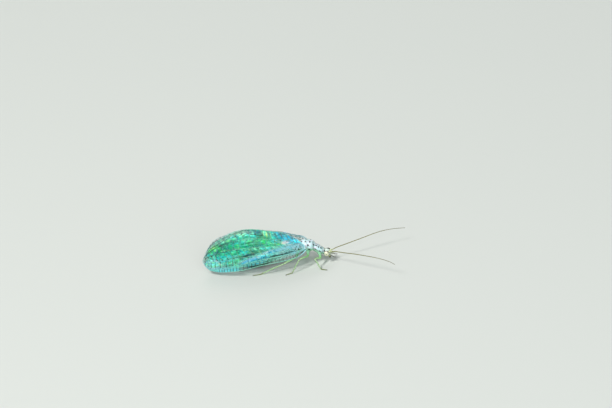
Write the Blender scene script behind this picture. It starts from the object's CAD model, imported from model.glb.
"""Looks of the green lacewing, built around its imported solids.

Shapes are worked out in millimetres in the design frame of the solids, and go to the row frame in metres
when a piece is made. The camera stands where the photograph was taken from.
"""
import math

import bmesh
import bpy
import numpy as np
from mathutils import Matrix, Vector, kdtree, noise


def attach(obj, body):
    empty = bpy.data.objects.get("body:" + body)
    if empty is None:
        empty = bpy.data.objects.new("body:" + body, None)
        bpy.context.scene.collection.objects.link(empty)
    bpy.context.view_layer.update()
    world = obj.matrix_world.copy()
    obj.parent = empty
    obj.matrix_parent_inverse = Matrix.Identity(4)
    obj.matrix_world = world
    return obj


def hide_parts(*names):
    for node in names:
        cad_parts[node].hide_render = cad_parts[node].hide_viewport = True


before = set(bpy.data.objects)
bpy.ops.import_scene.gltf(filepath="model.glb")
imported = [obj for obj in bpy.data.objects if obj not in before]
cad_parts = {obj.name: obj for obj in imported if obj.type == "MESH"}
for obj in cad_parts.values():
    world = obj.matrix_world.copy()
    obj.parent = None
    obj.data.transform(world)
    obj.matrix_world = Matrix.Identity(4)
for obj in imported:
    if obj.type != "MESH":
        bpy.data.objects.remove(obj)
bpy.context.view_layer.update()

SHIFT = np.array((0.4698, 1.0726, 0.0))  # from the design frame to the row frame, mm
MM = 0.001
SIDES = {"right": -1, "left": 1}

SIGHT_HEIGHT = math.radians(27)
SIGHT_TURN = math.radians(10)
BODY_PITCH = math.radians(10)
WING_DROOP = math.radians(8.4)
HINGE = Vector((0.0, -0.85, 2.8))

FORE_FRONT = ((-0.30, -0.35), (0.40, -0.90), (1.40, -1.27), (3.6, -1.50), (6.2, -1.66),
              (8.8, -1.92), (10.8, -1.86), (12.35, -1.58), (13.3, -1.05), (13.8, 0.05))
FORE_HIND = ((-0.10, 0.05), (0.70, 0.30), (1.70, 1.00), (3.0, 1.98), (4.6, 2.75), (6.6, 3.32),
             (8.6, 3.42), (10.6, 2.85), (12.1, 2.08), (13.15, 1.10), (13.8, 0.05))
HIND_FRONT = ((1.10, -0.38), (1.60, -0.56), (2.60, -0.80), (4.4, -1.06), (6.4, -1.32),
              (8.4, -1.42), (10.1, -1.30), (11.3, -0.95), (12.0, -0.40), (12.3, 0.40))
HIND_HIND = ((1.10, 0.10), (1.70, 0.42), (2.70, 1.00), (4.4, 1.85), (6.3, 2.42),
             (8.2, 2.62), (9.9, 2.30), (11.1, 1.78), (11.9, 1.18), (12.3, 0.40))
RIDGE_SPREAD = ((-0.10, 1.50), (0.60, 1.42), (1.50, 1.00), (2.50, 0.58), (3.60, 0.18), (4.6, 0.125),
                (6.5, 0.125), (9.40, 0.125), (10.6, 0.30), (12.1, 0.72), (13.1, 0.92), (13.8, 1.0))
FRONT_SPREAD = ((-0.30, 1.58), (0.40, 2.00), (1.20, 2.50), (2.50, 2.82), (4.0, 3.00), (6.0, 3.05),
                (8.0, 2.98), (9.5, 2.78), (11.0, 2.40), (12.4, 1.85), (13.3, 1.35), (13.8, 1.0))
# The membranes' own hind margin and spread there: they stand up steeper and meet over the back sooner than
# the thick solids can.
SHEET_HIND = ((-0.10, 0.05), (0.42, 0.80), (1.45, 1.64), (2.9, 2.38), (4.6, 2.82), (6.6, 3.33),
              (8.6, 3.43), (10.6, 2.85), (12.1, 2.08), (13.15, 1.10), (13.8, 0.05))
SHEET_SPREAD = ((-0.10, 1.08), (0.50, 0.80), (1.0, 0.50), (1.5, 0.28), (2.2, 0.10), (3.0, 0.04), (6.0, 0.035),
                (9.40, 0.04), (10.6, 0.22), (12.1, 0.66), (13.1, 0.90), (13.8, 1.0))
WING_CAMBER = 0.75
BASE_TUCK = 0.42  # the membranes' bases lie nearer the thorax than the outer faces of the solids
BASE_TUCK_SPAN = 3.2
HIND_DEPTH = 0.62  # from the forewing down to the hindwing, and how much more at its base
HIND_BASE_DEPTH = 0.30

# Body centre line and half sizes at each station: (x, z, half width, half height).
BODY = ((2.38, 1.52, 0.36, 0.36), (2.15, 1.64, 0.46, 0.43), (1.85, 1.84, 0.53, 0.48),
        (1.55, 2.06, 0.55, 0.52), (1.30, 2.22, 0.53, 0.54), (1.05, 2.36, 0.58, 0.60),
        (0.75, 2.50, 0.72, 0.71), (0.35, 2.60, 0.80, 0.78), (-0.10, 2.62, 0.80, 0.79),
        (-0.50, 2.58, 0.66, 0.71), (-0.75, 2.54, 0.58, 0.67), (-1.15, 2.46, 0.60, 0.67),
        (-1.60, 2.38, 0.52, 0.57), (-1.85, 2.33, 0.50, 0.54), (-2.60, 2.17, 0.58, 0.60),
        (-3.50, 1.95, 0.62, 0.64), (-4.50, 1.55, 0.63, 0.65), (-5.50, 1.10, 0.62, 0.62),
        (-6.50, 0.74, 0.58, 0.58), (-7.40, 0.50, 0.50, 0.50), (-8.05, 0.42, 0.42, 0.43),
        (-8.80, 0.36, 0.24, 0.27))
BODY_TIP = -8.80
BODY_RISING = np.array(BODY[::-1])
RING_LENGTH = 0.775
RINGS = [-1.85 - RING_LENGTH * i for i in range(9)]  # where the abdomen's rings meet

HEAD_CENTRE = Vector((2.83, 0.0, 1.31))
HEAD_PITCH = math.radians(-10)
HEAD_YAW = math.radians(-4)
# Head sections from the crown down to the lip: (up, forward, half width, half depth).
HEAD = ((0.54, -0.05, 0.05, 0.05), (0.50, -0.05, 0.22, 0.19), (0.42, -0.05, 0.33, 0.29),
        (0.28, 0.0, 0.41, 0.36), (0.05, 0.02, 0.43, 0.37), (-0.18, 0.05, 0.39, 0.33),
        (-0.38, 0.09, 0.30, 0.25), (-0.52, 0.12, 0.22, 0.17), (-0.64, 0.13, 0.13, 0.10),
        (-0.68, 0.13, 0.04, 0.03))
PALP_LENGTH = 0.62

ANTENNA = {
    "right": ((3.48, -0.42, 1.58), (4.20, -0.93, 1.80), (5.12, -1.51, 1.90), (7.80, -3.17, 2.20),
              (10.51, -4.85, 2.36), (12.29, -5.95, 2.29), (13.23, -6.53, 2.03)),
    "left": ((3.48, 0.36, 1.52), (4.20, 0.72, 1.66), (5.00, 1.05, 1.76), (6.88, 1.84, 1.99),
             (9.47, 2.92, 2.32), (11.25, 3.67, 2.26), (12.94, 4.38, 1.94)),
}
# Legs: where the coxa leaves the body (x, angle from straight down) and the joints after it, as on the right.
LEGS = {
    "fore_right": (1.80, 42, (1.98, -0.82, 0.96), (1.42, -1.86, 1.40), (2.12, -2.42, 0.14), (2.98, -2.72)),
    "fore_left": (1.80, 42, (1.98, -0.82, 0.96), (1.56, -1.86, 1.38), (2.40, -2.36, 0.14), (3.28, -2.58)),
    "mid_right": (0.35, 28, (0.28, -0.88, 1.38), (-0.62, -2.12, 1.60), (-1.68, -2.85, 0.14), (-2.50, -3.30)),
    "mid_left": (0.35, 28, (0.28, -0.88, 1.38), (-0.48, -2.18, 1.58), (-1.38, -3.05, 0.14), (-2.12, -3.58)),
    "hind_right": (-1.12, 28, (-1.26, -0.86, 1.36), (-3.0, -1.86, 0.98), (-5.95, -2.55, 0.14),
                   (-7.15, -2.75)),
    "hind_left": (-1.12, 28, (-1.26, -0.86, 1.36), (-2.92, -1.92, 0.98), (-5.8, -2.68, 0.14),
                  (-6.95, -2.95)),
}


def sight_lines():
    """Rightward, upward and towards the eye along the photograph's line of sight."""
    turn = Matrix.Rotation(BODY_PITCH, 3, "Y") @ Matrix.Rotation(SIGHT_TURN, 3, "Z")
    rise, run = math.sin(SIGHT_HEIGHT), math.cos(SIGHT_HEIGHT)
    return turn @ Vector((1, 0, 0)), turn @ Vector((0, rise, run)), turn @ Vector((0, -run, rise))


RIGHTWARD, UPWARD, OUTWARD = sight_lines()


def linear(colour):
    """A colour as seen on a screen, turned into linear light."""
    c = np.asarray(colour, float)
    return np.where(c <= 0.04045, c / 12.92, ((c + 0.055) / 1.055) ** 2.4)


def smoothstep(low, high, value):
    t = np.clip((np.asarray(value, float) - low) / (high - low), 0, 1)
    return t * t * (3 - 2 * t)


def bell(value, centre, width):
    return np.exp(-((np.asarray(value, float) - centre) / width) ** 2)


def mix(colour, other, much):
    return colour + (other - colour) * np.clip(np.asarray(much, float), 0, 1)[:, None]


def at_places(places, known, rows):
    """Rows of numbers at places between the known ones."""
    return np.stack([np.interp(places, known, rows[:, k]) for k in range(rows.shape[1])], -1)


def gone_along(line):
    """The length of a line up to each of its points."""
    return np.concatenate([[0], np.cumsum(np.linalg.norm(np.diff(line, axis=0), axis=1))])


def curve_value(stations, place):
    """Values at a place by a smooth curve through stations, whose first number is the place."""
    rising = stations[-1][0] > stations[0][0]
    i = next((n for n in range(len(stations) - 2) if (place < stations[n + 1][0]) == rising),
             len(stations) - 2)
    here, after = np.array(stations[i]), np.array(stations[i + 1])
    before = np.array(stations[i - 1]) if i else 2 * here - after
    beyond = np.array(stations[i + 2]) if i + 2 < len(stations) else 2 * after - here
    span = after[0] - here[0]
    t = min(max((place - here[0]) / span, 0.0), 1.0)
    slope_in = (after - before) / (after[0] - before[0]) * span
    slope_out = (beyond - here) / (beyond[0] - here[0]) * span
    value = ((2 * t ** 3 - 3 * t ** 2 + 1) * here + (t ** 3 - 2 * t ** 2 + t) * slope_in
             + (3 * t ** 2 - 2 * t ** 3) * after + (t ** 3 - t ** 2) * slope_out)
    return value[1:]


def curve_table(stations, places):
    """Values of the smooth curve through stations at each place."""
    return np.array([curve_value(stations, float(p)) for p in places])


def catmull_line(points, shares):
    """Points of a smooth curve through points, one equal share for each span."""
    p = np.array(points, float)
    p = np.vstack([2 * p[0] - p[1], p, 2 * p[-1] - p[-2]])
    at = np.clip(np.asarray(shares, float), 0, 1) * (len(p) - 3)
    i = np.minimum(at.astype(int), len(p) - 4)
    t = (at - i)[:, None]
    p0, p1, p2, p3 = p[i], p[i + 1], p[i + 2], p[i + 3]
    return 0.5 * (2 * p1 + (p2 - p0) * t + (2 * p0 - 5 * p1 + 4 * p2 - p3) * t ** 2
                  + (3 * p1 - p0 - 3 * p2 + p3) * t ** 3)


def even_line(points, count):
    """A smooth curve through points, in steps of equal length."""
    dense = catmull_line(points, np.linspace(0, 1, 40 * len(points)))
    gone = gone_along(dense)
    return at_places(np.linspace(0, gone[-1], count), gone, dense)


def unit(vectors):
    return vectors / np.maximum(np.linalg.norm(vectors, axis=-1, keepdims=True), 1e-9)


class Shape:
    """Points, faces and paint of one piece, gathered in millimetres."""

    def __init__(self):
        self.points, self.faces, self.paint, self.count = [], [], [], 0

    def add(self, points, faces, colour):
        points = np.asarray(points, float).reshape(-1, 3)
        self.faces += [tuple(int(k) + self.count for k in face) for face in faces]
        self.points.append(points)
        colour = np.asarray(colour, float)
        self.paint.append(np.broadcast_to(colour, (len(points), 3)) if colour.ndim == 1 else colour)
        self.count += len(points)

    def mesh(self, name, solid=1.0):
        mesh = bpy.data.meshes.new(name)
        mesh.from_pydata(np.vstack(self.points).tolist(), [], self.faces)
        mesh.update()
        put_paint(mesh, np.vstack(self.paint), solid)
        return mesh

    def piece(self, name, material, slot, nodes=()):
        """The shape as a piece, with every face turned to the outside."""
        make_piece(name, outward(self.mesh(name)), material, nodes)


def put_paint(mesh, colours, solid=1.0):
    """Screen colours, kept as linear ones at the mesh's points, and how solid the surface is there."""
    if "paint" in mesh.color_attributes:
        mesh.color_attributes.remove(mesh.color_attributes["paint"])
    layer = mesh.color_attributes.new("paint", "FLOAT_COLOR", "POINT")
    rgba = np.ones((len(mesh.vertices), 4), np.float32)
    rgba[:, :3] = linear(colours)
    rgba[:, 3] = solid
    layer.data.foreach_set("color", rgba.ravel())


def place_object(name, data):
    made = bpy.data.objects.new(name, data)
    bpy.context.scene.collection.objects.link(made)
    return made


def make_piece(name, mesh, material, nodes=()):
    """An object in the row frame from a mesh in millimetres of the design frame."""
    mesh.transform(Matrix.Diagonal((MM, MM, MM, 1)) @ Matrix.Translation(Vector(SHIFT)))
    mesh.shade_smooth()
    mesh.materials.clear()
    mesh.materials.append(material)
    piece = place_object(name, mesh)
    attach(piece, "root")
    if nodes:
        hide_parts(*nodes)


# Far from the course of every tube, so that its sides can be laid out from it
ROUGHLY_UP = (0.03, 0.05, 1.0)


def tube_faces(rings, sides):
    """Faces between the rings of a tube, and one on each end."""
    faces = []
    for r in range(rings - 1):
        a, b = r * sides, (r + 1) * sides
        faces += [(a + k, a + (k + 1) % sides, b + (k + 1) % sides, b + k) for k in range(sides)]
    last = (rings - 1) * sides
    return faces + [tuple(range(sides))[::-1], tuple(range(last, last + sides))]


def tube(line, radii, sides, normals=None, flat=1.0):
    """Points of a tube round a line. flat squeezes it along the normals."""
    line = np.asarray(line, float)
    along = unit(np.gradient(line, axis=0))
    if normals is None:
        normals = np.tile(ROUGHLY_UP, (len(line), 1))
    across = unit(np.cross(normals, along))
    up = np.cross(along, across)
    radii = np.broadcast_to(np.asarray(radii, float), (len(line),))[:, None, None]
    angle = 2 * math.pi * (np.arange(sides) + 0.5) / sides
    ring = across[:, None] * np.cos(angle)[None, :, None] + up[:, None] * np.sin(angle)[None, :, None] * flat
    return (line[:, None] + ring * radii).reshape(-1, 3)


def add_tube(shape, line, radii, sides, colour=(1, 1, 1)):
    """A closed tube, with one colour or with one for each ring."""
    colour = np.asarray(colour, float)
    paint = np.repeat(colour, sides, axis=0) if colour.ndim > 1 else colour
    shape.add(tube(line, radii, sides), tube_faces(len(line), sides), paint)


# Wings

SPANS = np.linspace(-0.4, 13.9, 320)
RIDGE_AT = {False: curve_table(RIDGE_SPREAD, SPANS)[:, 0], True: curve_table(SHEET_SPREAD, SPANS)[:, 0]}
FRONT_AT = curve_table(FRONT_SPREAD, SPANS)[:, 0]
MARGIN_SHARES = np.linspace(0, 1, 241)


def margin_line(line, other):
    """A smooth margin that rounds the wing tip into the other margin, at equal shares."""
    points = list(line) + [other[-2]]
    return catmull_line(points, np.linspace(0, (len(line) - 1) / (len(points) - 1), len(MARGIN_SHARES)))


EDGES = {"fore": (margin_line(FORE_FRONT, SHEET_HIND), margin_line(SHEET_HIND, FORE_FRONT)),
         "hind": (margin_line(HIND_FRONT, HIND_HIND), margin_line(HIND_HIND, HIND_FRONT)),
         "solid": (margin_line(FORE_FRONT, FORE_HIND), margin_line(FORE_HIND, FORE_FRONT))}


def wing_plane(wing, share, across):
    """(span, chord) at a share of the wing's length and of the way from front to hind margin."""
    front, hind = (at_places(share, MARGIN_SHARES, edge) for edge in EDGES[wing])
    return front + (hind - front) * np.asarray(across)[..., None]


def cad_face(span, chord, tuck):
    """The outer face of the right forewing, drawn towards the body by the tuck."""
    front, hind = (np.interp(span, edge[:, 0], edge[:, 1]) for edge in EDGES["fore" if tuck else "solid"])
    down = np.clip((hind - chord) / np.maximum(hind - front, 0.6), 0, 1)
    fall = down + WING_CAMBER * down * (1 - down) ** 2
    ridge, edge = np.interp(span, SPANS, RIDGE_AT[tuck]), np.interp(span, SPANS, FRONT_AT)
    if tuck:
        edge = edge - BASE_TUCK * (1 - smoothstep(0, BASE_TUCK_SPAN, span))
    spread = ridge + (edge - ridge) * fall
    right = -math.cos(WING_DROOP) * span - math.sin(WING_DROOP) * chord
    up = -math.sin(WING_DROOP) * span + math.cos(WING_DROOP) * chord
    seen = np.array(HINGE) + right[..., None] * np.array(RIGHTWARD) + up[..., None] * np.array(UPWARD)
    return seen + np.array(OUTWARD) * ((-spread - seen[..., 1]) / OUTWARD.y)[..., None]


def face_normal(span, chord, tuck):
    """The outward direction of that face."""
    step = 0.06
    along = cad_face(span + step, chord, tuck) - cad_face(span - step, chord, tuck)
    across = cad_face(span, chord + step, tuck) - cad_face(span, chord - step, tuck)
    return unit(np.cross(across, along))


PLEAT, PLEATS = 0.035, 4.5  # the height of the membranes' pleats, and how many lie across a wing


def wing_point(wing, share, across):
    """A place on the right wing's membrane, which is pleated along its long veins, and its normal."""
    share, across = np.broadcast_arrays(np.asarray(share, float), np.asarray(across, float))
    plane = wing_plane(wing, share, across)
    span, chord = plane[..., 0], plane[..., 1]
    tuck = wing == "fore"
    normal = face_normal(span, chord, tuck)
    pleat = PLEAT * np.cos(across * 2 * math.pi * PLEATS) * np.sin(math.pi * np.clip(across, 0, 1)) ** 0.5
    depth = 0.0 if tuck else HIND_DEPTH + HIND_BASE_DEPTH * (1 - smoothstep(1.0, 3.5, span))
    fade = smoothstep(0, 0.1, share) * (1 - smoothstep(0.9, 1, share))
    return cad_face(span, chord, tuck) + normal * (pleat * fade - depth)[..., None], normal


# Long veins: how far from the front to the hind margin they run, by share of the wing's length.
VEINS = {
    "fore": {
        "subcosta": ((0.012, 0.30), (0.06, 0.26), (0.12, 0.215), (0.20, 0.165), (0.30, 0.135), (0.45, 0.112),
                     (0.60, 0.095), (0.74, 0.078), (0.84, 0.052), (0.91, 0.0)),
        "radius": ((0.012, 0.42), (0.06, 0.37), (0.12, 0.30), (0.20, 0.235), (0.30, 0.185), (0.45, 0.155),
                   (0.60, 0.137), (0.74, 0.122), (0.84, 0.112), (0.92, 0.09), (0.972, 0.0)),
        "sector": ((0.165, 0.262), (0.22, 0.325), (0.30, 0.335), (0.45, 0.315), (0.60, 0.315), (0.74, 0.335),
                   (0.86, 0.40), (0.94, 0.50), (0.99, 0.55)),
        "media": ((0.012, 0.52), (0.06, 0.48), (0.12, 0.47), (0.20, 0.50), (0.30, 0.525), (0.45, 0.53),
                  (0.60, 0.545), (0.72, 0.575), (0.84, 0.63), (0.93, 0.70)),
        "cubitus": ((0.012, 0.64), (0.06, 0.65), (0.12, 0.69), (0.20, 0.73), (0.30, 0.755), (0.45, 0.76),
                    (0.60, 0.77), (0.75, 0.79), (0.88, 0.84), (0.95, 0.90)),
        "anal_1": ((0.015, 0.75), (0.08, 0.80), (0.14, 0.88), (0.19, 1.0)),
        "anal_2": ((0.015, 0.86), (0.06, 0.91), (0.105, 1.0)),
    },
    "hind": {
        "subcosta": ((0.0, 0.30), (0.10, 0.16), (0.25, 0.095), (0.45, 0.075), (0.65, 0.062), (0.80, 0.04),
                     (0.88, 0.0)),
        "radius": ((0.0, 0.42), (0.10, 0.23), (0.25, 0.145), (0.45, 0.12), (0.65, 0.105), (0.80, 0.10),
                   (0.91, 0.08), (0.97, 0.0)),
        "sector": ((0.10, 0.235), (0.18, 0.30), (0.30, 0.315), (0.50, 0.30), (0.70, 0.32), (0.86, 0.40),
                   (0.99, 0.55)),
        "media": ((0.0, 0.56), (0.10, 0.48), (0.25, 0.52), (0.45, 0.54), (0.65, 0.56), (0.82, 0.63),
                  (0.93, 0.70)),
        "cubitus": ((0.0, 0.70), (0.10, 0.70), (0.25, 0.76), (0.45, 0.78), (0.65, 0.78), (0.85, 0.84),
                    (0.95, 0.90)),
        "anal_1": ((0.0, 0.82), (0.08, 0.88), (0.16, 1.0)),
    },
}
VEIN_RADII = {"subcosta": (0.032, 0.016), "radius": (0.046, 0.020), "sector": (0.032, 0.020),
              "media": (0.032, 0.022), "cubitus": (0.032, 0.022), "anal_1": (0.026, 0.016),
              "anal_2": (0.024, 0.016)}
MARGIN_RINGS = 150
MARGIN_RADII = {"front": (0.050, 0.022), "hind": (0.020, 0.020)}
FORK_RADII = (0.026, 0.017)
BRANCHES = {"fore": 16, "hind": 13}
FIRST_BRANCH, BRANCH_STEP = {"fore": 0.235, "hind": 0.20}, {"fore": 0.0455, "hind": 0.056}

FALSE_VEINS = ("media", "cubitus")  # made of pieces of other veins, so they run in zigzags
ZIG = 0.009
FOOT_STEP = 0.45  # how far past the false media's joints those of the false cubitus lie, in branch steps

GREEN_VEIN = np.array((0.56, 0.92, 0.78))
BLUE_VEIN = np.array((0.66, 0.94, 1.00))
DARK_VEIN = np.array((0.03, 0.06, 0.08))
STIGMA = (0.40, 0.76, 0.72)


def vein_across(wing, vein, share):
    return curve_table(VEINS[wing][vein], np.atleast_1d(share))[:, 0]


def zig_reach(share):
    """How much wider than ZIG the false veins' bends are along the wing."""
    return np.interp(share, (0, 0.15, 0.6, 0.8), (0.3, 1, 1, 2.2))


def cross_rows(wing, start):
    """Rows of cross veins: shares, the veins they join, how far past a share they end, radii, points."""
    costal, radial = (33, 15) if wing == "fore" else (24, 12)
    return ((np.linspace(0.045, 0.80, costal), "front", "subcosta", 0, 0.003, (0.029, 0.031), 5),
            (np.linspace(0.82, 0.95, 8), "front", "radius", 0.012, 0, (0.019, 0.020), 4),
            ((0.03, 0.075, 0.70, 0.735, 0.77, 0.805, 0.84), "subcosta", "radius", 0, 0, (0.023, 0.023), 3),
            (np.linspace(start + 0.035, 0.93, radial), "radius", "sector", 0, 0.004, (0.031, 0.031), 5),
            (np.linspace(0.05, start + 0.02, 4), "radius", "media", 0, 0.01, (0.024, 0.024), 4))


def vein_network(wing):
    """Every vein of a wing: (shares, acrosses, radius at both ends, kind)."""
    at = {name: (lambda s, name=name: float(vein_across(wing, name, s)[0])) for name in VEINS[wing]}
    at["front"], at["hind"] = (lambda s: 0.0), (lambda s: 1.0)
    rows = []

    def line(points, radii, kind, count):
        path = catmull_line(points, np.linspace(0, 1, count))
        rows.append((path[:, 0], path[:, 1], radii, kind))

    def joined(vein, share, other, end, radii, kind, count):
        line([(share, at[vein](share)), (end, at[other](end))], radii, kind, count)

    gap = BRANCH_STEP[wing]
    # Where each upper branch meets the false media and its lower one leaves it, nearer past the middle
    uppers = [FIRST_BRANCH[wing] + gap * i for i in range(-3, BRANCHES[wing])]
    joints = [(upper, upper + gap * float(np.interp(upper, (0.5, 0.72), (0.5, 0.18)))) for upper in uppers]
    for name, stations in VEINS[wing].items():
        shares = np.linspace(stations[0][0], stations[-1][0], 90)
        across = vein_across(wing, name, shares)
        if name in FALSE_VEINS:
            shift = gap * FOOT_STEP * FALSE_VEINS.index(name)
            bends = [(a + shift, -ZIG) for a, _ in joints] + [(b + shift, ZIG) for _, b in joints]
            bends = sorted(bend for bend in bends if stations[0][0] + 0.05 < bend[0] < stations[-1][0])
            across = across + zig_reach(shares) * np.interp(shares, *zip(*bends), 0, 0)
        rows.append((shares, across, VEIN_RADII[name], "gradate" if name in FALSE_VEINS else "long"))
    start = VEINS[wing]["sector"][0][0]
    for shares, vein, other, before, after, radii, count in cross_rows(wing, start):
        for share in shares:
            joined(vein, share + before, other, share + after, radii, "cross", count)
    if wing == "fore":
        line([(0.115, at["media"](0.115)), (0.145, 0.56), (0.185, 0.60), (0.235, at["media"](0.235))],
             (0.020, 0.020), "long", 16)
        joined("media", 0.05, "cubitus", 0.055, (0.024, 0.024), "cross", 4)
    last_fork = None
    for k, (upper, lower) in enumerate(joints):
        bulge = 0.006 * math.sin(2.3 * k)
        zig = ZIG * float(zig_reach(upper))
        if upper - 0.03 > start + 0.02:
            root = upper - 0.032
            line([(root, at["sector"](root)),
                  (upper - 0.014 + bulge, 0.5 * (at["sector"](root) + at["media"](upper))),
                  (upper, at["media"](upper) - zig)], (0.030, 0.029), "branch", 9)
        end = upper + gap * FOOT_STEP
        if 0.06 < lower < 0.90:
            line([(lower, at["media"](lower) + zig),
                  (lower + 0.006 + bulge, 0.5 * (at["media"](lower) + at["cubitus"](lower + 0.012))),
                  (end, at["cubitus"](end) - zig)], (0.030, 0.029), "branch", 8)
        foot = lower + gap * FOOT_STEP
        if 0.05 < foot < 0.93:
            top = at["cubitus"](foot) + zig
            fork = (foot + 0.014, top + (1 - top) * (0.50 + 0.10 * math.sin(1.7 * k)))
            line([(foot, top), fork], (0.028, 0.026), "branch", 5)
            for end in (foot + 0.018, foot + 0.018 + gap * 0.42):
                line([fork, (end, 1.0)], FORK_RADII, "fork", 4)
            if last_fork:
                line([last_fork, (foot + 0.004, top + 0.75 * (fork[1] - top))], (0.026, 0.026), "cross", 4)
            last_fork = fork if foot > 0.40 else None
    for share, end in ((0.915, 0.945), (0.945, 0.965), (0.97, 0.982)):
        if share < VEINS[wing]["sector"][-1][0]:
            for margin, kind in (("hind", "branch"), ("front", "fork")):
                joined("sector", share, margin, end, (0.016, 0.012), kind, 7)
    return rows


def vein_paint(kind, shares, count):
    """Colours along a vein: long ones are green, cross ones dark, and branches dark where they join."""
    t = np.linspace(0, 1, count)
    bluer = smoothstep(0.45, 0.05, shares) + 0.7 * smoothstep(0.50, 0.72, shares)
    base = GREEN_VEIN + (BLUE_VEIN - GREEN_VEIN) * bluer[:, None]
    fresh = 0.45 * smoothstep(0.20, 0.04, shares)
    if kind == "long":
        much = 0.12 * np.ones(count)
    elif kind == "gradate":
        much = 0.18 + 0.72 * smoothstep(0.55, 0.75, shares)
    elif kind == "cross":
        much = 0.90 + 0.10 * np.cos(2 * math.pi * t)
    else:
        much = 0.30 + 0.70 * np.clip(np.abs(2 * t - 1) * 2.2 - 0.60, 0, 1)
    return base + (DARK_VEIN - base) * (much * (1 - fresh))[:, None]


class Coat:
    """Fine bristles, each a bent spike of three sides, with a patch of the unwrap at its root's place."""

    SPIKE = ((0, 2, 1), (0, 1, 4, 3), (1, 2, 5, 4), (2, 0, 3, 5), (3, 4, 6), (4, 5, 6), (5, 3, 6))
    SPIKE_POINTS = 7
    CORNERS = (0, 2.0944, 4.18879)  # directions of a spike's edges
    PATCH = 0.0015

    def __init__(self, seed):
        self.points, self.faces, self.places, self.count = [], [], [], 0
        self.random = np.random.default_rng(seed)

    def add(self, roots, out, along, lengths, radius, places, lean):
        """Bristles rise along out and bend towards along."""
        number = len(roots)
        first = unit(out + lean * along)
        across = unit(np.cross(first, along + (0.011, 0.007, 0.013)))
        beside = np.cross(first, across)
        length = np.broadcast_to(lengths, (number,))[:, None]
        tip = roots + first * length * 0.62 + unit(first + 0.9 * along) * length * 0.42
        ring = [across * math.cos(a) + beside * math.sin(a) for a in self.CORNERS]
        rows = [roots + r * radius - first * radius for r in ring]
        rows += [roots + first * length * 0.5 + r * radius * 0.72 for r in ring] + [tip]
        self.points.append(np.stack(rows, 1).reshape(-1, 3))
        self.faces += [tuple(self.count + self.SPIKE_POINTS * i + k for k in face)
                       for i in range(number) for face in self.SPIKE]
        self.places.append(np.repeat(places, self.SPIKE_POINTS, axis=0))
        self.count += self.SPIKE_POINTS * number

    def on_tube(self, line, radii, number, length, lean, place, high=False):
        """Bristles scattered over a tube. high keeps them off its underside."""
        at = self.random.uniform(0.04, 0.96, number) * (len(line) - 1)
        index = np.arange(len(line))
        centre = at_places(at, index, line)
        along = unit(at_places(at, index, unit(np.gradient(line, axis=0))))
        turn = self.random.uniform(0, 2 * math.pi, number)
        across = unit(np.cross(ROUGHLY_UP, along))
        out = across * np.cos(turn)[:, None] + np.cross(along, across) * np.sin(turn)[:, None]
        if high:
            out[:, 2] = np.abs(out[:, 2])
        roots = centre + out * (np.interp(at, index, radii) * 0.92)[:, None]
        places = np.array(place) + np.column_stack([0.10 * at / len(line), 0.03 * turn / 6.3])
        lengths = length * self.random.uniform(0.7, 1.2, number)
        self.add(roots, out, along, lengths, BRISTLE_RADIUS, places, lean)

    def piece(self, name, material, slot):
        mesh = bpy.data.meshes.new(name)
        mesh.from_pydata(np.vstack(self.points).tolist(), [], self.faces)
        mesh.update()
        corner = np.empty(len(mesh.loops), np.int32)
        mesh.loops.foreach_get("vertex_index", corner)
        turn = (corner % self.SPIKE_POINTS) * 0.9
        patch = self.PATCH * np.column_stack([np.cos(turn), np.sin(turn)])
        places = np.clip(np.vstack(self.places)[corner], 0.01, 0.99) + patch
        layer = mesh.uv_layers.new(name="OFBake")
        layer.data.foreach_set("uv", places.astype(np.float32).ravel())
        make_piece(name, mesh, material)


BRISTLE_RADIUS = 0.0038
VEIN_BRISTLE = 0.115


def mirrored(points, side):
    """Right-hand points as they are, or their mirror image on the left."""
    return points if side < 0 else points * np.array((1, -1, 1))


def turned(faces, side):
    return faces if side < 0 else [face[::-1] for face in faces]


def vein_bristles(coat, place, normal, side, radius, spacing, wing, plane):
    """Bristles along a vein, on its outer and inner faces by turns."""
    gone = gone_along(place)
    number = int(gone[-1] / spacing)
    if number < 1:
        return
    at = (np.arange(number) + coat.random.uniform(0.3, 0.7, number)) * gone[-1] / number
    slopes = unit(np.gradient(place, axis=0))
    roots, out, along, where = (at_places(at, gone, values) for values in (place, normal, slopes, plane))
    along = unit(along) * np.where(along @ (-1.0, 0, -0.1) < 0, -1, 1)[:, None]
    out = unit(out) * np.where(np.arange(number) % 2, 1, -1)[:, None]
    roots = mirrored(roots + out * radius * 0.7, side)
    corner = {"fore": 0.24, "hind": 0.74}[wing]
    places = np.column_stack([0.02 + where[:, 0] / 15 * 0.95, corner + where[:, 1] / 7 * 0.4])
    lengths = VEIN_BRISTLE * coat.random.uniform(0.75, 1.2, number)
    coat.add(roots, mirrored(out, side), mirrored(along, side), lengths, BRISTLE_RADIUS * 0.8, places, 0.8)


def veins_shape(wing, side, coat):
    """All veins of one wing as joined tubes, with its margin and its stigma."""
    shape = Shape()
    rows = vein_network(wing)
    for name, across in (("front", 0.0), ("hind", 1.0)):
        shares = np.linspace(0.0 if wing == "hind" else 0.004, 1.0, MARGIN_RINGS)
        rows.append((shares, np.full(MARGIN_RINGS, across), MARGIN_RADII[name], "long"))
    for shares, across, (start, end), kind in rows:
        place, normal = wing_point(wing, shares, across)
        count = len(shares)
        sides = 6 if start > 0.024 else 5
        points = tube(place, np.linspace(start, end, count), sides, normal, 0.85)
        paint = np.repeat(vein_paint(kind, shares, count), sides, axis=0)
        shape.add(mirrored(points, side), turned(tube_faces(count, sides), side), paint)
        spacing = 0.085 if across[0] == across[-1] else 0.13
        vein_bristles(coat, place, normal, side, start, spacing, wing, wing_plane(wing, shares, across))
    if wing == "fore":
        add_stigma(shape, side)
    return shape


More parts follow.
